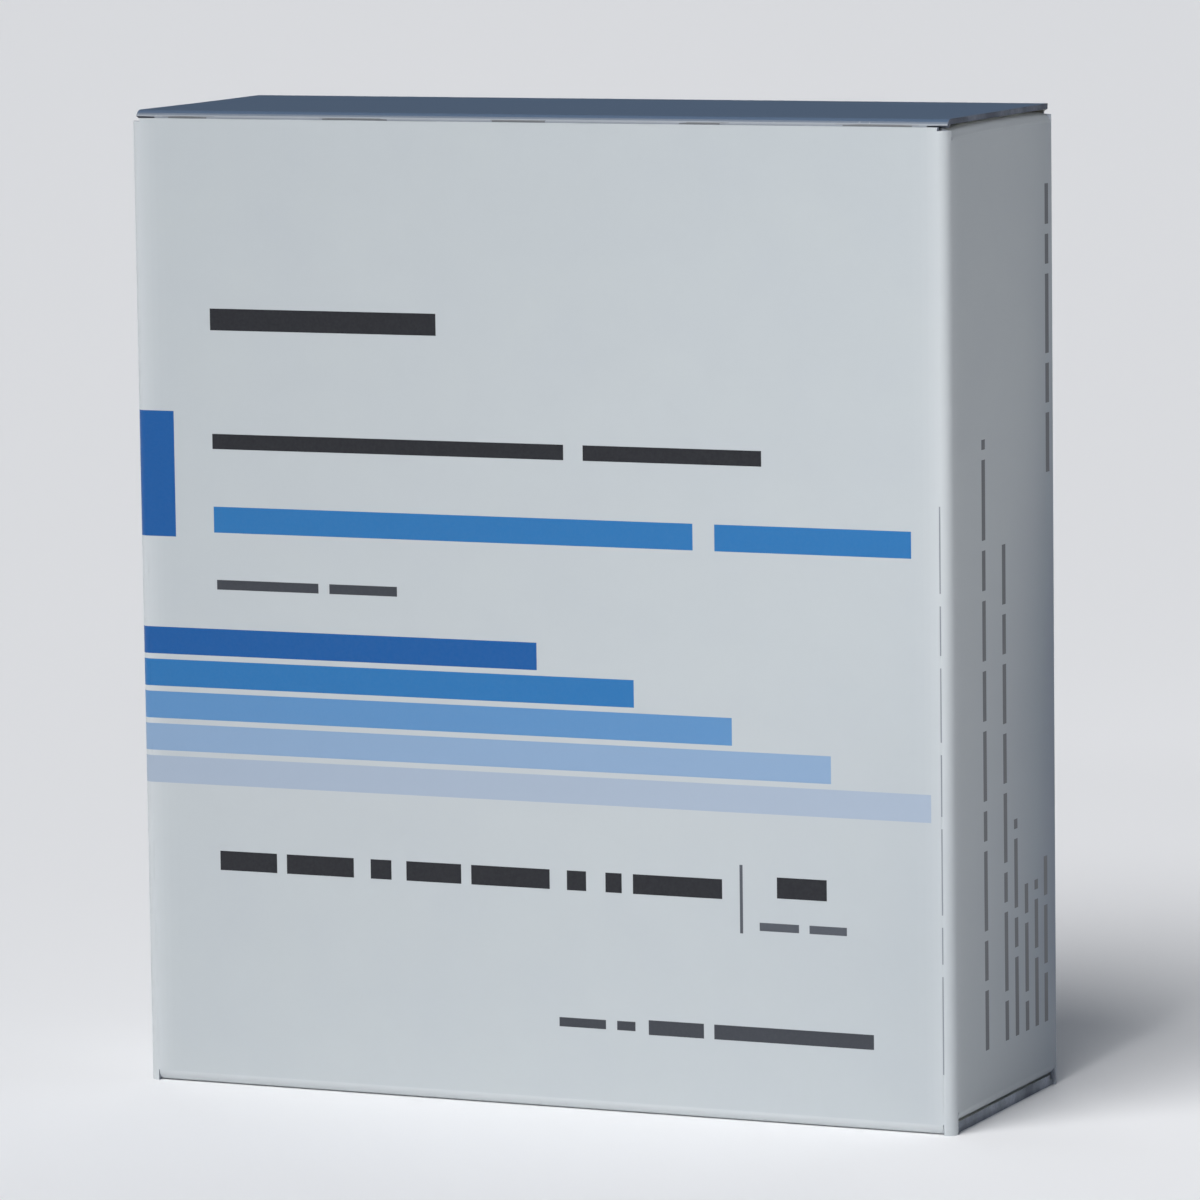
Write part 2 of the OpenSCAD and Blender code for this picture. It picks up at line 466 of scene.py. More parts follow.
def carton_artwork(half_width: float, half_depth: float, fold: float) -> Artwork:
    """Lays out the walls' print on the flat sheet, measured from the middle of the front.

    Lettering is left out: a plain bar stands in the place of each group of letters. The only
    ornament is a set of plain stripes.

    Args:
        half_width: Half of the carton's width.
        half_depth: Half of its depth.
        fold: The folds' outer radius.

    Returns:
        The artwork, with the left wall to the left of the front and the right wall to its right.
    """
    art = Artwork()
    arc = math.radians(QUARTER) * fold
    # The accent and the stripes run in over the left fold
    art.blocks.append(Block(-half_width - 4.5, -36.1, 50.9, 62.5, Ink.BLUE))
    # Plain stripes, each one paler and longer than the one above it
    top, stripe, gap, shortest, step, turned = 42.5, 2.5, 0.5, 0.0, 9.5, 8.0
    for number, tint in enumerate((Ink.BLUE, Ink.BLUE_80, Ink.BLUE_60, Ink.BLUE_35, Ink.BLUE_20)):
        high = top - number * (stripe + gap)
        art.blocks.append(Block(-half_width - turned, shortest + step * number, high - stripe, high, tint))
    art.bar(Ink.BLACK, 71.0, 2.0, (-32.2, -9.5))
    art.bar(Ink.BLACK, 59.8, 1.4, (-32.2, 2.9), (4.8, 22.1))
    art.bar(Ink.BLUE_80, 52.6, 2.4, (-32.2, 15.4), (17.5, 36.3))
    art.bar(Ink.GREY, 46.6, 0.9, (-32.0, -21.7), (-20.6, -13.8))
    art.bar(Ink.BLACK, 21.0, 1.8, (-32.2, -26.4), (-25.4, -18.6), (-16.9, -14.8), (-13.3, -7.8),
            (-6.8, 1.0), (2.7, 4.6), (6.5, 8.1), (9.2, 17.9))
    art.bar(Ink.SMALL, 20.2, 6.2, (19.6, 19.9))
    art.bar(Ink.BLACK, 21.4, 1.9, (23.2, 28.0))
    art.bar(Ink.SMALL, 17.8, 0.75, (21.5, 25.3), (26.3, 29.9))
    art.bar(Ink.GREY, 8.0, 0.85, (1.8, 6.4), (7.5, 9.3))
    art.bar(Ink.GREY, 8.0, 1.35, (10.6, 16.0), (17.0, 32.4))
    # Small print that runs up the right wall, as lines of short bars
    wall = half_width - fold + arc + half_depth - fold
    small, stroke = 0.9, 0.9
    lines = ((-5.0, 6.3, 61.2), (0.1, 6.3, 51.2), (2.7, 6.3, 25.7), (5.3, 6.3, 19.4),
             (7.8, 6.3, 19.5), (10.2, 6.3, 22.3), (11.3, 57.0, 82.6))
    for number, (y, start, end) in enumerate(lines):
        for low, high in word_lengths(start, end, small, number):
            art.blocks.append(Block(wall + y - stroke / 2, wall + y + stroke / 2, low, high, Ink.SMALL))
    # Painted shade in broken dashes in the score line beside the right fold
    line, before, past = half_width - fold, 0.06, 0.07
    for low, high in word_lengths(5.4, 56.0, 1.1, 2):
        art.blocks.append(Block(line - before, line + past, low, high, Ink.SCORE_SHADE))
    return art


# ---------------------------------------------------------------- sheet geometry


@dataclass(frozen=True)
class Run:
    """One stretch of an outline: its length in mm, and the degrees that it turns to the left."""

    length: float
    turn: float = 0.0


def bend(radius: float, turn: float = QUARTER) -> Run:
    """A run that bends round a fold of this radius."""
    return Run(radius * math.radians(abs(turn)), turn)


class Outline:
    """The outer face of a folded sheet seen end-on, as a chain of straight and bent runs."""

    def __init__(self, start: tuple[float, float], heading: float, runs: Sequence[Run], first: float = 0.0,
                 outside: int = 1) -> None:
        """Works out where each run starts.

        Args:
            start: The outline's first point.
            heading: Its direction there, in degrees from the first axis.
            runs: The runs in order.
            first: What the distance along the outline counts from.
            outside: 1 if the sheet's outer face looks to the right of the walk, -1 if to the left.
        """
        self.runs = list(runs)
        self.outside = outside
        self.starts = first + np.concatenate([[0.0], np.cumsum([r.length for r in runs])])
        self.curves = np.array([math.radians(r.turn) / r.length for r in runs])
        self.headings = math.radians(heading) + np.concatenate(
            [[0.0], np.cumsum([math.radians(r.turn) for r in runs])])
        self.corners = np.array([start], float)
        for k, r in enumerate(runs):
            step = self._step(np.array([k]), np.array([r.length]))
            self.corners = np.vstack([self.corners, self.corners[-1] + step])

    def _step(self, k: np.ndarray, gone: np.ndarray) -> np.ndarray:
        """The chord of an arc or a straight stretch that begins at the start of a run.

        Its length is the arc's times sin(a)/a, where a is half of the turn, and it points half of
        the turn on from the run's first heading.

        Args:
            k: The runs' numbers.
            gone: How far along each run the chord ends.

        Returns:
            The chords, as an array of pairs.
        """
        half = self.curves[k] * gone / 2
        chord = gone * np.sinc(half / math.pi)
        way = self.headings[k] + half
        return np.stack([chord * np.cos(way), chord * np.sin(way)], -1)

    def run_of(self, u: np.ndarray) -> np.ndarray:
        """The number of the run that each distance lies on."""
        return np.clip(np.searchsorted(self.starts, u, side="right") - 1, 0, len(self.runs) - 1)

    def at(self, u: np.ndarray) -> tuple[np.ndarray, np.ndarray]:
        """Points and outward normals.

        Args:
            u: Distances along the outline.

        Returns:
            The points and the normals, each as an array of pairs.
        """
        k = self.run_of(u)
        gone = u - self.starts[k]
        way = self.headings[k] + self.curves[k] * gone
        normals = self.outside * np.stack([np.sin(way), -np.cos(way)], -1)
        return self.corners[k] + self._step(k, gone), normals

    def lines(self, step: float, extra: Sequence[float] = ()) -> np.ndarray:
        """Where the grid's lines go: run ends, guards beside the folds, the extra ones and a filler.

        Args:
            step: The filler's spacing on straight runs.
            extra: Lines that have to be there, such as the edges of the print.

        Returns:
            The distances in order.
        """
        guards = np.array([0.15, 0.5, 1.0, 1.6, 2.4])
        segments = 8
        fixed = list(self.starts)
        filler: list[float] = []
        for k, r in enumerate(self.runs):
            low, high = self.starts[k], self.starts[k + 1]
            if r.turn:
                fixed += list(np.linspace(low, high, segments * max(1, round(abs(r.turn) / QUARTER)) + 1))
            else:
                fixed += [*(low + guards), *(high - guards)]
                filler += list(np.linspace(low, high, max(2, round(r.length / step)) + 1))
        inside = [e for e in extra if self.starts[0] < e < self.starts[-1]]
        return merge_lines(merge_lines(fixed, inside, PRINT_NEAREST), filler)

    def wear_and_highlight(self, u: np.ndarray) -> np.ndarray:
        """How much each place is worn and how much painted highlight it gets: 1 at the middle of a fold,
        falling as a bell curve beside it.

        Args:
            u: Distances along the outline.

        Returns:
            The share at each of them, from 0 to 1.
        """
        reach = 0.75
        middles = [(self.starts[k] + self.starts[k + 1]) / 2 for k, r in enumerate(self.runs) if r.turn]
        if not middles:
            return np.zeros(len(u))
        away = np.abs(u[:, None] - np.array(middles)[None, :]).min(1)
        return np.exp(-(away / reach) ** 2)


def merge_lines(fixed: Sequence[float], filler: Sequence[float], nearest: float = 0.12) -> np.ndarray:
    """Sorts the fixed lines and adds the filler lines that aren't too close to one of them.

    Args:
        fixed: Lines that have to stay.
        filler: Lines that may be left out.
        nearest: The least distance between a filler line and a fixed one.

    Returns:
        The lines in order.
    """
    kept = np.unique(np.round(np.array(fixed, float), 5))
    spare = np.array(filler, float)
    if len(spare):
        spare = spare[np.abs(spare[:, None] - kept[None, :]).min(1) > nearest]
    return np.sort(np.concatenate([kept, spare]))


@dataclass
class Grid:
    """A stretch of sheet as a grid: rows follow its outline and columns cross it."""

    points: np.ndarray
    normals: np.ndarray
    flat: np.ndarray
    wear_and_highlight: np.ndarray
    shade_share: np.ndarray
    keep: np.ndarray

    def mirrored(self) -> "Grid":
        """The same stretch on the carton's other side, with X turned round."""
        flip = np.array([-1.0, 1.0, 1.0])
        return Grid(self.points * flip, self.normals * flip, self.flat, self.wear_and_highlight, self.shade_share, self.keep)


def carry(outline: Outline, rows: np.ndarray, columns: np.ndarray, axes: tuple[int, int, int],
          low: float | np.ndarray = 0.0, high: float | np.ndarray = 1.0) -> Grid:
    """Carries an outline across the sheet's width.

    A point is the outline's point at its row, and on the third axis low + (high - low) * column.

    Args:
        outline: The outline.
        rows: Distances along it.
        columns: Shares of the width, or places across it when low is 0 and high is 1.
        axes: The two axes that the outline is drawn on, then the axis across it.
        low: Where each row begins, as one number or one for each row.
        high: Where each row ends.

    Returns:
        The grid, with every face kept.
    """
    line, out = outline.at(rows)
    begin = np.broadcast_to(np.asarray(low, float), rows.shape)
    finish = np.broadcast_to(np.asarray(high, float), rows.shape)
    across = begin[:, None] + (finish - begin)[:, None] * columns[None, :]
    shape = (len(rows), len(columns), 3)
    points, normals = np.zeros(shape), np.zeros(shape)
    for i in (0, 1):
        points[:, :, axes[i]] = line[:, i, None]
        normals[:, :, axes[i]] = out[:, i, None]
    points[:, :, axes[2]] = across
    flat = np.stack([np.broadcast_to(rows[:, None], across.shape), across], -1)
    wear_and_highlight = np.broadcast_to(outline.wear_and_highlight(rows)[:, None], across.shape)
    every = np.ones((shape[0] - 1, shape[1] - 1), bool)
    return Grid(points, normals, flat, wear_and_highlight, np.zeros(across.shape), every)


def step_up(x: np.ndarray, start: float, end: float) -> np.ndarray:
    """Smooth step from 0 at start to 1 at end: 3t^2 - 2t^3 of the share t of the way."""
    t = np.clip((x - start) / (end - start), 0, 1)
    return t * t * (3 - 2 * t)


def wander(x: np.ndarray, lengths: Sequence[float], seed: int) -> np.ndarray:
    """An uneven wave between -1 and 1: the mean of a few sines whose phases come from the seed."""
    phases = np.random.default_rng(seed).uniform(0, 2 * math.pi, len(lengths))
    return np.mean([np.sin(2 * math.pi * x / w + p) for w, p in zip(lengths, phases)], axis=0)


class Face(Enum):
    """Which of a sheet's three finishes a face wears, in the order of its material slots."""

    OUTER = 0
    INNER = 1
    EDGE = 2


class Sheet:
    """Grids that share their borders, welded and given the board's thickness."""

    def __init__(self, name: str, thickness: float) -> None:
        """Starts an empty sheet.

        Args:
            name: The name of the piece that it becomes.
            thickness: The board's thickness.
        """
        self.name = name
        self.thickness = thickness
        self.grids: list[Grid] = []
        self.inks: list[np.ndarray] = []
        self.covers: list[np.ndarray] = []
        self.quads: list[np.ndarray] = []
        self.count = 0

    def lay(self, grid: Grid, artwork: Optional[Artwork] = None) -> None:
        """Adds one grid, facing outwards, with what is printed on it.

        Args:
            grid: The grid.
            artwork: The print, placed by the grid's flat coordinates.
        """
        rows, columns = grid.points.shape[:2]
        index = self.count + np.arange(rows * columns).reshape(rows, columns)
        quads = np.stack([index[:-1, :-1], index[1:, :-1], index[1:, 1:], index[:-1, 1:]], -1)[grid.keep]
        along = grid.points[1:, :-1] - grid.points[:-1, :-1]
        over = grid.points[:-1, 1:] - grid.points[:-1, :-1]
        facing = (np.cross(along, over) * grid.normals[:-1, :-1]).sum(-1)[grid.keep]
        if facing.sum() < 0:
            quads = quads[:, ::-1]
        middle = (grid.flat[:-1, :-1] + grid.flat[1:, 1:])[grid.keep] / 2
        ink, cover = (artwork or Artwork()).printed(middle[:, 0], middle[:, 1])
        self.grids.append(grid)
        self.quads.append(quads)
        self.inks.append(ink)
        self.covers.append(cover)
        self.count += rows * columns

    def build(self, press: Callable[[np.ndarray, np.ndarray], np.ndarray]) -> bpy.types.Object:
        """Welds the grids, moves their points a little and closes the sheet.

        The inner face is the outer one moved by the thickness against its normals. Each border
        edge, which only one face uses, gets an edge face between the two.

        Args:
            press: Takes points and normals and returns the points with the sheet's real unevenness.

        Returns:
            The finished object, at the origin, without materials.
        """
        weld, smooth_to = 1e-3, math.radians(35)
        points = np.concatenate([g.points.reshape(-1, 3) for g in self.grids])
        normals = np.concatenate([g.normals.reshape(-1, 3) for g in self.grids])
        wear_and_highlight = np.concatenate([g.wear_and_highlight.reshape(-1) for g in self.grids])
        shade_share = np.concatenate([g.shade_share.reshape(-1) for g in self.grids])
        _, first, same = np.unique(np.round(points / weld).astype(np.int64), axis=0,
                                   return_index=True, return_inverse=True)
        quads = same.reshape(-1)[np.concatenate(self.quads)]
        sums = np.zeros((len(first), 3))
        np.add.at(sums, same.reshape(-1), normals)
        used, quads = np.unique(quads, return_inverse=True)
        quads = quads.reshape(-1, 4)
        normals = sums[used] / np.linalg.norm(sums[used], axis=1)[:, None]
        outer = press(points[first][used], normals)
        inner = outer - self.thickness * normals
        count = len(used)
        ends = np.stack([quads, np.roll(quads, -1, axis=1)], -1).reshape(-1, 2)
        border = ends[~np.isin(ends[:, 0] * count + ends[:, 1], ends[:, 1] * count + ends[:, 0])]
        edges = np.stack([border[:, 1], border[:, 0], border[:, 0] + count, border[:, 1] + count], -1)
        faces = np.concatenate([quads, quads[:, ::-1] + count, edges])
        kinds = np.repeat([Face.OUTER.value, Face.INNER.value, Face.EDGE.value],
                          [len(quads), len(quads), len(edges)])
        bare = len(faces) - len(quads)
        ink = np.concatenate([*self.inks, np.ones((bare, 3))])
        cover = np.concatenate([*self.covers, np.zeros(bare)])
        mesh = mesh_from(self.name, np.concatenate([outer, inner]) * MM, faces)
        mesh.polygons.foreach_set("material_index", kinds.astype(np.int32))
        write_attribute(mesh, "ink", "FLOAT_VECTOR", "CORNER", "vector", np.repeat(ink, 4, axis=0))
        write_attribute(mesh, "cover", "FLOAT", "CORNER", "value", np.repeat(cover, 4))
        for name, values in (("wear_and_highlight", wear_and_highlight), ("shade_share", shade_share)):
            both = np.concatenate([values[first][used], np.zeros(count)])
            write_attribute(mesh, name, "FLOAT", "POINT", "value", both)
        mesh.set_sharp_from_angle(angle=smooth_to)
        piece = new_object(self.name, mesh)
        log.info("%s: %d faces, %d border edges", self.name, len(faces), len(edges))
        return piece


def mesh_from(name: str, points: np.ndarray, quads: np.ndarray) -> bpy.types.Mesh:
    """Makes a smooth-shaded mesh from whole arrays.

    Args:
        name: The mesh's name.
        points: Its vertices, in metres.
        quads: Four vertex numbers for each face.

    Returns:
        The mesh.
    """
    mesh = bpy.data.meshes.new(name)
    mesh.vertices.add(len(points))
    mesh.vertices.foreach_set("co", points.astype(np.float32).ravel())
    mesh.loops.add(quads.size)
    mesh.loops.foreach_set("vertex_index", quads.astype(np.int32).ravel())
    mesh.polygons.add(len(quads))
    mesh.polygons.foreach_set("loop_start", np.arange(0, quads.size, 4, dtype=np.int32))
    mesh.polygons.foreach_set("use_smooth", np.ones(len(quads), bool))
    mesh.update(calc_edges=True)
    mesh.validate()
    return mesh


def write_attribute(mesh: bpy.types.Mesh, name: str, kind: str, domain: str, part: str,
                    values: np.ndarray) -> None:
    """Writes one attribute of the mesh from a whole array."""
    mesh.attributes.new(name, kind, domain).data.foreach_set(part, values.astype(np.float32).ravel())


# ---------------------------------------------------------------- the carton's pieces


@dataclass
class Board:
    """Sizes that the carton and its lid share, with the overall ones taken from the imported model."""

    half_width: float
    half_depth: float
    top: float
    thickness: float = 0.5
    fold: float = 1.0
    lid_gap: float = 0.4
    flap_side_gap: float = 0.3
    seam_drop: float = 0.7
    tuck_gap: float = 0.15
    crease_inset: float = 0.4
    faces: tuple[bpy.types.Material, ...] = ()

    @property
    def flat_x(self) -> float:
        """Half of the front's flat part."""
        return self.half_width - self.fold

    @property
    def flat_y(self) -> float:
        """Half of a side wall's flat part."""
        return self.half_depth - self.fold

    @property
    def flap_half(self) -> float:
        """Half of the width of the lid and of the two wide bottom flaps."""
        return self.half_width - self.flap_side_gap

    def widening(self, share: np.ndarray, left: float) -> tuple[np.ndarray, np.ndarray]:
        """Where a flap's two side edges run, from its fold's own ends out to the full flap width.

        Each edge's place is its fold's end plus the share of the way from there to the flap's edge.

        Args:
            share: How far the flap has widened at each row, from 0 to 1.
            left: Where its fold ends at the left.

        Returns:
            The left edge's and the right edge's places in X.
        """
        return (left + share * (-self.flap_half - left),
                self.flat_x + share * (self.flap_half - self.flat_x))

    def dress(self, piece: bpy.types.Object, slot: str, edge: bpy.types.Material) -> None:
        """Gives a piece the board's two faces and its cut edge.

        Args:
            piece: The piece.
            slot: A slot's name; not used.
            edge: The material of its cut edge.
        """
        for material in (*self.faces, edge):
            piece.data.materials.append(material)


@dataclass
class Carton:
    """Walls, glue flap, glued bottom and top dust flaps, which are all one sheet."""

    board: Board
    step: float = 2.6
    glue_width: float = 12.0
    glue_taper: float = 3.0
    glue_edge: float = 0.3
    dust_length: float = 24.0
    dust_corner: float = 3.0
    dust_front: float = -11.23
    dust_shoulder: float = 0.9
    flap_shoulder: float = 0.7
    guard: float = 0.15
    # Unevenness of the walls: their bow, the side walls' share of it, and a ripple
    bow: float = 0.14
    side_bow: float = 0.8
    ripple: float = 0.05
    # The score line beside each front fold, and how much of it is left where it is broken
    score_reach: float = 0.07
    score_width: float = 0.06
    score_depth: float = 0.05
    score_least: float = 0.15
    # How far the front wall's top edge leans in, and the dust flaps spring up
    seam_lean: float = 0.13
    rise: float = 0.32
    # The painted shade and reflection on the right wall: its strength at the top, what the foot adds and
    # takes off, and its reach
    shade_strength: float = 0.34
    shade_deepening: float = 0.56
    shade_easing: float = 0.24
    shade_reach: float = 4.0
    shade_spread: float = 9.0
    shade_turned: float = 0.35
    # The number of the right back fold in the ring's runs
    right_back: int = 5

    def ring(self) -> Outline:
        """The walls seen from above, from the left wall's cut edge round to the glue flap's.

        Returns:
            The outline, whose distances count from the middle of the front.
        """
        b = self.board
        quarter = bend(b.fold)
        runs = [Run(b.half_depth - self.glue_edge + b.flat_y), quarter, Run(2 * b.flat_x), quarter,
                Run(2 * b.flat_y), quarter, Run(2 * b.flat_x - b.thickness), quarter, Run(self.glue_width)]
        front_left = -b.flat_x - runs[0].length - quarter.length
        return Outline((-b.half_width, b.half_depth - self.glue_edge), -QUARTER, runs, front_left)

    def levels(self) -> np.ndarray:
        """Where each of the ring's runs begins and ends in height.

        Returns:
            A row for each run, with its lowest and highest place.
        """
        b = self.board
        corner = (0.0, b.top - b.fold)
        side = (2 * b.thickness + b.fold, b.top - b.thickness - b.lid_gap - b.fold)
        front = (b.fold, b.top - b.seam_drop)
        back = (b.thickness + b.fold, b.top - b.fold)
        glue = (side[0] + b.thickness, side[1] - b.fold)
        return np.array([side, corner, front, corner, side, corner, back, glue, glue])

    def walls(self, artwork: Artwork) -> Grid:
        """The ring carried up, with the faces outside each run's levels left out.

        The glue flap's ends are drawn in evenly towards its free edge.

        Args:
            artwork: The print, whose edges need grid lines.

        Returns:
            The grid.
        """
        b = self.board
        ring, levels = self.ring(), self.levels()
        groove = [s + off for s in (b.flat_x, -b.flat_x) for off in (-self.score_reach, self.score_reach)]
        rows = ring.lines(self.step, [*artwork.edges(True), *groove,
                                      ring.starts[0] + b.fold - self.glue_edge])
        guards = [b.top - b.seam_drop - self.guard, b.fold + self.guard]
        filler = np.linspace(0, b.top - b.seam_drop, round(b.top / self.step) + 1)
        fixed = merge_lines([*levels.ravel(), *guards], artwork.edges(False), PRINT_NEAREST)
        heights = merge_lines(fixed, filler)
        grid = carry(ring, rows, heights, (0, 1, 2))
        run = ring.run_of((rows[:-1] + rows[1:]) / 2)
        middles = (heights[:-1] + heights[1:]) / 2
        grid.keep = (middles[None, :] > levels[run, 0, None]) & (middles[None, :] < levels[run, 1, None])
        gone = np.clip((rows - ring.starts[-2]) / self.glue_width, 0, 1)[:, None]
        low, high = levels[-1]
        share = np.clip((heights[None, :] - low) / (high - low), 0, 1)
        grid.points[:, :, 2] += gone * self.glue_taper * (1 - 2 * share)
        fold_middle = (ring.starts[self.right_back] + ring.starts[self.right_back + 1]) / 2
        # Painted shade and reflection: slate darkening towards the right wall's back fold and its foot
        grid.shade_share = self.painted_shade(grid.flat[:, :, 0] - fold_middle, grid.flat[:, :, 1])
        return grid

    def painted_shade(self, past: np.ndarray, z: np.ndarray) -> np.ndarray:
        """How dark the painted shade and reflection is that hugs the right wall's back fold.

        It falls off as e to the minus distance over reach. Towards the foot it gets darker and
        its reach grows, until it eases off a little over the last part above the foot. Round the
        fold, on the back wall, its reach is short.

        Args:
            past: Distance along the walls, from the middle of the right back fold.
            z: Height.

        Returns:
            The share of painted slate shade, from 0 to 1.
        """
        top = self.board.top
        strength = (self.shade_strength + self.shade_deepening * step_up(z, top, 0.4 * top)
                    - self.shade_easing * step_up(z, 0.16 * top, 0.03 * top))
        reach = self.shade_reach + self.shade_spread * step_up(z, 0.78 * top, 0.15 * top)
        reach = np.where(past > 0, self.shade_turned * reach, reach)
        return strength * np.exp(-np.abs(past) / reach)

    def across(self, walls: Grid, axis: int, side: int, limit: float) -> np.ndarray:
        """The walls' own grid lines along one wall, as shares of its flat width.

        Args:
            walls: The walls' grid.
            axis: 0 for a wall that runs along X, 1 for one that runs along Y.
            side: Which of the two walls, as the sign of the other axis.
            limit: Half of the flat width.

        Returns:
            The shares in order, from 0 to 1.
        """
        other, square_on = 1 - axis, 0.999
        line = walls.points[:, 0]
        on_wall = (np.abs(line[:, axis]) <= limit + SAME) & (walls.normals[:, 0, other] * side > square_on)
        on_wall &= line[:, other] * side > (self.board.half_width, self.board.half_depth)[other] - SAME
        return np.sort((line[on_wall, axis] + limit) / (2 * limit))

    def dust_flap(self, columns: np.ndarray, upper: bool) -> Grid:
        """A dust flap at the right with its fold.

        Its front and back edges follow its die-cut outline, from shoulder to cut corners. At the
        bottom both edges stay straight up to the corners.

        Args:
            columns: The side wall's own grid lines, as shares of its flat width.
            upper: Whether it is the one at the top.

        Returns:
            The grid.
        """
        b = self.board
        levels = self.levels()[0]
        start = (b.half_width, levels[1] if upper else levels[0])
        turn = QUARTER if upper else -QUARTER
        line = Outline(start, turn, [bend(b.fold, turn), Run(self.dust_length)], 0.0, 1 if upper else -1)
        tip, corner = line.starts[-1], self.dust_corner
        shoulder = line.starts[1] + self.dust_shoulder
        rows = line.lines(self.step, [shoulder, tip - corner])
        front = self.dust_front if upper else -b.flat_y
        low = np.interp(rows, [line.starts[1], shoulder, tip - corner, tip],
                        [-b.flat_y, front, front, front + corner])
        high = np.interp(rows, [tip - corner, tip], [b.flat_y, b.flat_y - corner])
        return carry(line, rows, columns, (0, 2, 1), low, high)

    def bottom_flap(self, columns: np.ndarray, front: bool) -> Grid:
        """The outer bottom flap, from the front wall, or the inner one, from the back wall.

        Past its fold it widens by a smooth step to the flap's own width.

        Args:
            columns: The wall's own grid lines, as shares of its flat width.
            front: Whether it is the outer one.

        Returns:
            The grid.
        """
        b = self.board
        if front:
            line = Outline((-b.half_depth, b.fold), -QUARTER, [bend(b.fold), Run(2 * b.flat_y)])
        else:
            line = Outline((b.half_depth, b.fold + b.thickness), -QUARTER,
                           [bend(b.fold, -QUARTER), Run(2 * b.flat_y - b.fold)], 0.0, -1)
        shoulder = line.starts[1] + self.flap_shoulder
        rows = line.lines(self.step * 2, [shoulder])
        left = -b.flat_x if front else -b.flat_x + b.thickness
        share = step_up(rows, line.starts[1], shoulder)
        return carry(line, rows, columns, (1, 2, 0), *b.widening(share, left))

    def press(self, points: np.ndarray, normals: np.ndarray) -> np.ndarray:
        """The sheet's real unevenness, always inwards so that the carton keeps its size.

        Each wall bows in by a parabola across it times half a sine wave up it, with a slow ripple.
        The front wall's top edge leans in by an uneven wave, so that the seam under the lid comes
        and goes. Each upper dust flap springs up by the 0.4th power of a sine wave from front to
        back. A score line beside each front fold is pressed in by a narrow bell curve, and fades in
        and out along its length.

        Args:
            points: The sheet's points.
            normals: Their outward normals.

        Returns:
            The moved points.
        """
        b = self.board
        x, y, z = points.T
        up = np.sin(np.pi * np.clip(z / b.top, 0, 1))
        wide = np.clip(1 - (x / b.flat_x) ** 2, 0, 1) * (np.abs(normals[:, 1]) > SQUARE_ON)
        deep = np.clip(1 - (y / b.flat_y) ** 2, 0, 1) * (np.abs(normals[:, 0]) > SQUARE_ON)
        slanted = wander(x + 0.7 * y + 0.35 * z, (31.0, 47.0, 23.0), 3)
        ripple = 0.5 - 0.5 * slanted * wander(z, (29.0, 41.0), 5)
        inward = (self.bow * up + self.ripple * ripple) * (wide + self.side_bow * deep)
        score = np.exp(-((np.abs(x) - b.flat_x) / self.score_width) ** 2) * (y < -b.flat_y)
        # The two score lines are broken in different places, and both fade out from 52 to 58 mm up
        broken = step_up(wander(z + 40 * (x < 0), (5.5, 8.5, 3.1), 8), -0.25, 0.2) * step_up(z, 58.0, 52.0)
        inward += self.score_depth * score * (self.score_least + (1 - self.score_least) * broken)
        moved = points - inward[:, None] * normals
        on_front = (y < -b.flat_y - 0.9) * (np.abs(x) <= b.flat_x)
        edge = step_up(z, b.top - 5, b.top - b.seam_drop) * on_front
        moved[:, 1] += self.seam_lean * edge * (0.5 + 0.5 * wander(x, (17.0, 26.0, 9.0), 12)) * wide ** 0.25
        along = np.clip((y + b.flat_y) / (2 * b.flat_y), 0, 1)
        sprung = self.rise * np.sin(np.pi * along) ** 0.4 * step_up(z, b.top - 12, b.top - 2)
        sprung *= step_up(np.abs(x), b.flat_x - self.dust_length, b.flat_x)
        moved[:, 2] += sprung * (np.abs(y) <= b.flat_y) * (np.abs(x) > 0)
        return moved

    def build(self) -> bpy.types.Object:
        """Builds the carton's sheet and puts it on its body.

        Returns:
            The finished piece.
        """
        b = self.board
        artwork = carton_artwork(b.half_width, b.half_depth, b.fold)
        sheet = Sheet("carton_sheet", b.thickness)
        walls = self.walls(artwork)
        sheet.lay(walls, artwork)
        for side in (1, -1):
            columns = self.across(walls, 1, side, b.flat_y)
            for upper in (True, False):
                flap = self.dust_flap(columns, upper)
                if side == 1 and not upper:
                    # The painted shade and reflection carries on over the right wall's lower dust flap
                    flap.shade_share = self.painted_shade(flap.points[:, :, 1] - b.half_depth, flap.points[:, :, 2])
                sheet.lay(flap if side == 1 else flap.mirrored())
        sheet.lay(self.bottom_flap(self.across(walls, 0, -1, b.flat_x), True))
        back = self.across(walls, 0, 1, b.flat_x)
        whole = 2 * b.flat_x
        back = (back * whole - b.thickness) / (whole - b.thickness)
        sheet.lay(self.bottom_flap(back[back > -SAME], False))
        piece = sheet.build(self.press)
        b.dress(piece, "carton_board", CutEdge().material())
        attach(piece, "carton")
        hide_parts("carton")
        return piece


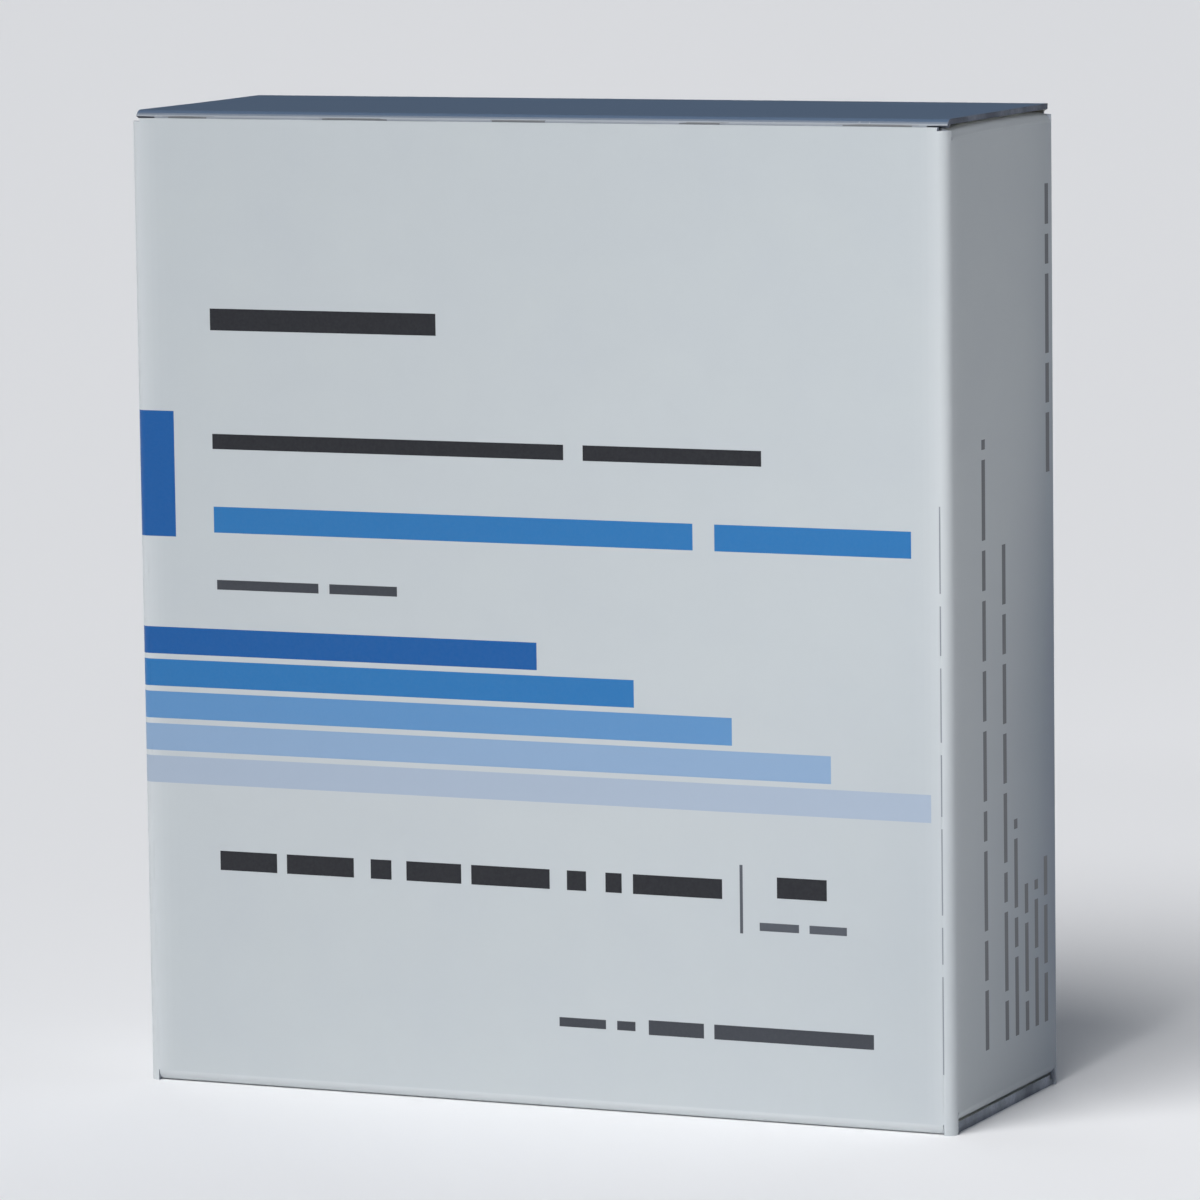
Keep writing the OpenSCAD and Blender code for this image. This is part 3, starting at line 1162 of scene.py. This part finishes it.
@dataclass
class Lid:
    """The lid's panel, its front fold and its tuck, with the crease strip that carries it."""

    board: Board
    edge: bpy.types.Material
    lowest: float
    headroom: float = 13.0
    lean_spare: float = 1.5
    tuck_inset: float = 1.2
    tuck_corner: float = 4.0
    # Degrees round the front fold at which the painted shade and reflection thin out, in two steps
    shade_sweeps: tuple[float, float] = (43.0, 55.0)
    sag: float = 0.18
    ripple: float = 0.03
    step: float = 2.6
    # Over this length the sheet steps in from the lip to the tuck
    step_in: float = 0.06
    corner_lines: int = 9
    across_lines: int = 31
    crease_lines: int = 17
    # Where the painted shade and reflection begin on the crease strip
    crease_shade_from: float = 0.25

    def outline(self) -> Outline:
        """The lid seen from its side, from the crease along the top and down the tuck.

        The tuck leans in by the angle of a chord that is as long as the headroom on the circle
        that the lid's front edge swings on, with a little to spare.

        Returns:
            The outline.
        """
        b = self.board
        fold_y = -b.half_depth + b.thickness + b.tuck_gap + b.fold
        reach = b.half_depth - b.crease_inset - fold_y + b.fold
        lean = math.degrees(math.asin(self.headroom / (2 * reach))) + self.lean_spare
        fold_end = b.top - b.fold * (1 + math.sin(math.radians(lean)))
        tuck = (fold_end - self.lowest) / math.cos(math.radians(lean))
        return Outline((b.flat_y, b.top), 2 * QUARTER,
                       [Run(b.flat_y - fold_y), bend(b.fold, QUARTER + lean), Run(tuck)])

    def artwork(self, line: Outline, lip: float) -> Artwork:
        """A solid field of slate on the panel, painted shade and reflection, which thins out over the front
        fold.

        Painted shade lies in the seam below the lip, in broken dashes.

        Args:
            line: The lid's outline.
            lip: Where the full-width part ends on it.

        Returns:
            The artwork, placed by the distance along the outline and by X.
        """
        ends = [line.starts[1] + self.board.fold * math.radians(a) for a in self.shade_sweeps]
        places = [-1.0, *ends, line.starts[2]]
        wide = self.board.half_width
        art = Artwork([Block(low, high, -wide, wide, ink) for low, high, ink in
                       zip(places, places[1:], (Ink.LID_SHADE, Ink.LID_SHADE_60, Ink.LID_SHADE_40))])
        above = 0.03
        # Painted shade in broken dashes in the seam below the lip
        for low, high in word_lengths(-36.0, 36.5, 1.3, 3)[::2]:
            art.blocks.append(Block(lip - above, line.starts[2], low, high, Ink.SEAM_SHADE))
        return art

    def press(self, points: np.ndarray, normals: np.ndarray) -> np.ndarray:
        """The panel sags by a parabola across it times half a sine wave from crease to front.

        Args:
            points: The sheet's points.
            normals: Their outward normals.

        Returns:
            The moved points.
        """
        b = self.board
        x, y, z = points.T
        share = np.clip((y + b.flat_y) / (2 * b.flat_y), 0, 1)
        drop = self.sag * np.clip(1 - (x / b.half_width) ** 2, 0, 1) * np.sin(np.pi * share)
        drop += self.ripple * (1 + wander(x, (21.0, 34.0), 21)) * np.sin(np.pi * share)
        moved = points.copy()
        moved[:, 2] -= drop * (normals[:, 2] > SQUARE_ON)
        return moved

    def build(self) -> bpy.types.Object:
        """Builds the lid's sheet and puts it on its body.

        The sheet is full width as far as its lip, then steps in to the tuck, whose free corners
        are quarter circles.

        Returns:
            The finished piece.
        """
        b = self.board
        line = self.outline()
        lip = line.starts[1] + b.fold * math.acos((b.fold - b.seam_drop + b.tuck_gap) / b.fold)
        end = line.starts[-1]
        curve = end - self.tuck_corner * (1 - np.sin(np.linspace(0, math.pi / 2, self.corner_lines)))
        artwork = self.artwork(line, lip)
        rows = line.lines(self.step, [lip, lip + self.step_in, *curve, *artwork.edges(True)])
        narrow = b.flat_x - self.tuck_inset
        half = np.where(rows <= lip + SAME, b.flap_half, narrow)
        gone = np.clip(rows - (end - self.tuck_corner), 0, self.tuck_corner)
        half = half - (self.tuck_corner - np.sqrt(self.tuck_corner ** 2 - gone ** 2))
        dashes = (artwork.edges(False)[1:-1] + narrow) / (2 * narrow)
        guard, nearest = 0.004, 0.008
        columns = merge_lines([0, guard, 1 - guard, 1, *dashes],
                              np.linspace(0, 1, self.across_lines), nearest)
        sheet = Sheet("lid_sheet", b.thickness)
        sheet.lay(carry(line, rows, columns, (1, 2, 0), -half, half), artwork)
        piece = sheet.build(self.press)
        b.dress(piece, "lid_board", self.edge)
        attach(piece, "lid")
        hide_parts("lid")
        return piece

    def crease(self) -> bpy.types.Object:
        """The bent strip between the back wall and the lid.

        Towards the lid it widens by a smooth step to the lid's own width.

        Returns:
            The finished piece.
        """
        b = self.board
        line = Outline((b.half_depth, b.top - b.fold), QUARTER, [bend(b.fold)])
        rows = np.linspace(line.starts[0], line.starts[1], self.crease_lines)
        share = step_up(rows, rows[0], rows[-1])
        columns = np.linspace(0, 1, self.across_lines)
        sheet = Sheet("crease", b.thickness)
        # Painted shade and reflection in slate on the crease strip, as on the lid's top
        lid_shade_field = Artwork([Block(self.crease_shade_from, line.starts[1], -b.half_width, b.half_width, Ink.LID_SHADE)])
        sheet.lay(carry(line, rows, columns, (1, 2, 0), *b.widening(share, -b.flat_x + b.thickness)), lid_shade_field)
        piece = sheet.build(lambda points, normals: points)
        b.dress(piece, "lid_board", self.edge)
        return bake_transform(piece)


@dataclass
class SlideRow:
    """The row of slides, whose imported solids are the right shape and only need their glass."""

    node: str = "slides"
    glass: SlideGlass = SlideGlass()

    def dress(self) -> bpy.types.Object:
        """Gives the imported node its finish.

        Returns:
            The node's own object.
        """
        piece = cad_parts[self.node]
        material = self.glass.material()
        if piece.material_slots:
            for slot in piece.material_slots:
                slot.material = material
        else:
            piece.data.materials.append(material)
        return piece


# ---------------------------------------------------------------- studio


@dataclass
class Studio:
    """Floor, lights and camera."""

    azimuth: float = 23.77
    elevation: float = 7.04
    roll: float = -0.75
    distance: float = 661.7
    target: tuple[float, float, float] = (0.43, 0.01, 44.81)
    lens: float = 216.57
    floor_half: float = 7000.0
    surround: str = "#3a424e"

    def camera(self) -> None:
        """Stands the camera off the target along its azimuth and elevation, then rolls it."""
        a, e, r = (math.radians(v) for v in (self.azimuth, self.elevation, self.roll))
        back = Vector((math.sin(a) * math.cos(e), -math.cos(a) * math.cos(e), math.sin(e)))
        right = Vector((0, 0, 1)).cross(back).normalized()
        up = back.cross(right)
        rolled = (right * math.cos(r) + up * math.sin(r), up * math.cos(r) - right * math.sin(r), back)
        data = bpy.data.cameras.new("camera")
        data.lens = self.lens
        data.sensor_width = 36.0
        data.clip_end = 100.0
        camera = new_object("camera", data)
        place = (Vector(self.target) + back * self.distance) * MM
        camera.matrix_world = Matrix.Translation(place) @ Matrix(rolled).transposed().to_4x4()
        bpy.context.scene.camera = camera

    def floor(self) -> None:
        """A wide plain floor of background paper."""
        h = self.floor_half * MM
        points = np.array([[-h, -h, 0], [h, -h, 0], [h, h, 0], [-h, h, 0]], float)
        mesh = mesh_from("floor", points, np.array([[0, 1, 2, 3]]))
        mesh.materials.append(StudioPaper().material())
        floor = new_object("floor", mesh)

    def light(self, kind: str, name: str, energy: float, place: tuple[float, float, float],
              aim: Optional[tuple[float, float, float]] = None, **shape: Any) -> bpy.types.Object:
        """Adds one white light.

        Args:
            kind: Blender's type of light.
            name: The light's name.
            energy: Its strength.
            place: Where it stands, in mm.
            aim: What it looks at, which is the carton's middle if left out.
            **shape: Its other properties, such as its size or its angle.

        Returns:
            The light's object.
        """
        data = bpy.data.lights.new(name, kind)
        data.energy = energy
        for key, value in shape.items():
            setattr(data, key, value)
        light = new_object(name, data)
        turned = (Vector(place) - Vector(aim or self.target)).to_track_quat("Z", "Y")
        light.matrix_world = Matrix.Translation(Vector(place) * MM) @ turned.to_matrix().to_4x4()
        return light

    def build(self) -> None:
        """Sets up the whole studio, with plain display of colours."""
        self.camera()
        self.floor()
        self.light("SUN", "sky_panel", 2.57, (-149, -597, 833), angle=math.radians(40))
        self.light("SPOT", "corner_spot", 8.0, (60, -900, 480), aim=(50, -13, 50),
                   spot_size=math.radians(12), spot_blend=1.0, shadow_soft_size=0.06)
        self.light("AREA", "front_panel", 0.07, (170, -420, 330), shape="RECTANGLE", size=0.2, size_y=0.2)
        fill = self.light("SUN", "back_fill", 0.6, (-250, 900, 570), angle=math.radians(50))
        # It lifts the back and the floor, without a glare on the lid
        fill.visible_glossy = False
        world = bpy.data.worlds.new("surround")
        world.use_nodes = True
        world.node_tree.nodes.clear()
        glow = add(world.node_tree, "ShaderNodeBackground", {"Color": linear(self.surround)})
        add(world.node_tree, "ShaderNodeOutputWorld", {"Surface": glow.outputs[0]})
        bpy.context.scene.world = world
        bpy.context.scene.view_settings.view_transform = "Standard"


def main() -> None:
    """Builds every piece, then the studio."""
    logging.basicConfig(level=logging.INFO, format="%(message)s")
    carton_low, carton_high = (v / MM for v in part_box("carton"))
    lid_low, lid_high = (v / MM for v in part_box("lid"))
    board = Board(half_width=(carton_high.x - carton_low.x) / 2,
                  half_depth=(carton_high.y - carton_low.y) / 2, top=lid_high.z,
                  faces=(CoatedBoard().material(), BareBoard().material()))
    # The lid's cut edge, darker and slate: painted shade
    shaded_edge = CutEdge("board_edge_painted_shade", pale="#858b97", dark="#727883", seam_shade="#565b66")
    lid = Lid(board, edge=shaded_edge.material(), lowest=lid_low.z)
    for piece in (Carton(board).build(), lid.build(), lid.crease(), SlideRow().dress()):
        places = np.empty(3 * len(piece.data.vertices), np.float32)
        piece.data.vertices.foreach_get("co", places)
        places = places.reshape(-1, 3) / MM
        log.info("%s from %s to %s mm", piece.name, places.min(0).round(2), places.max(0).round(2))
    Studio().build()


if __name__ == "__main__":
    main()
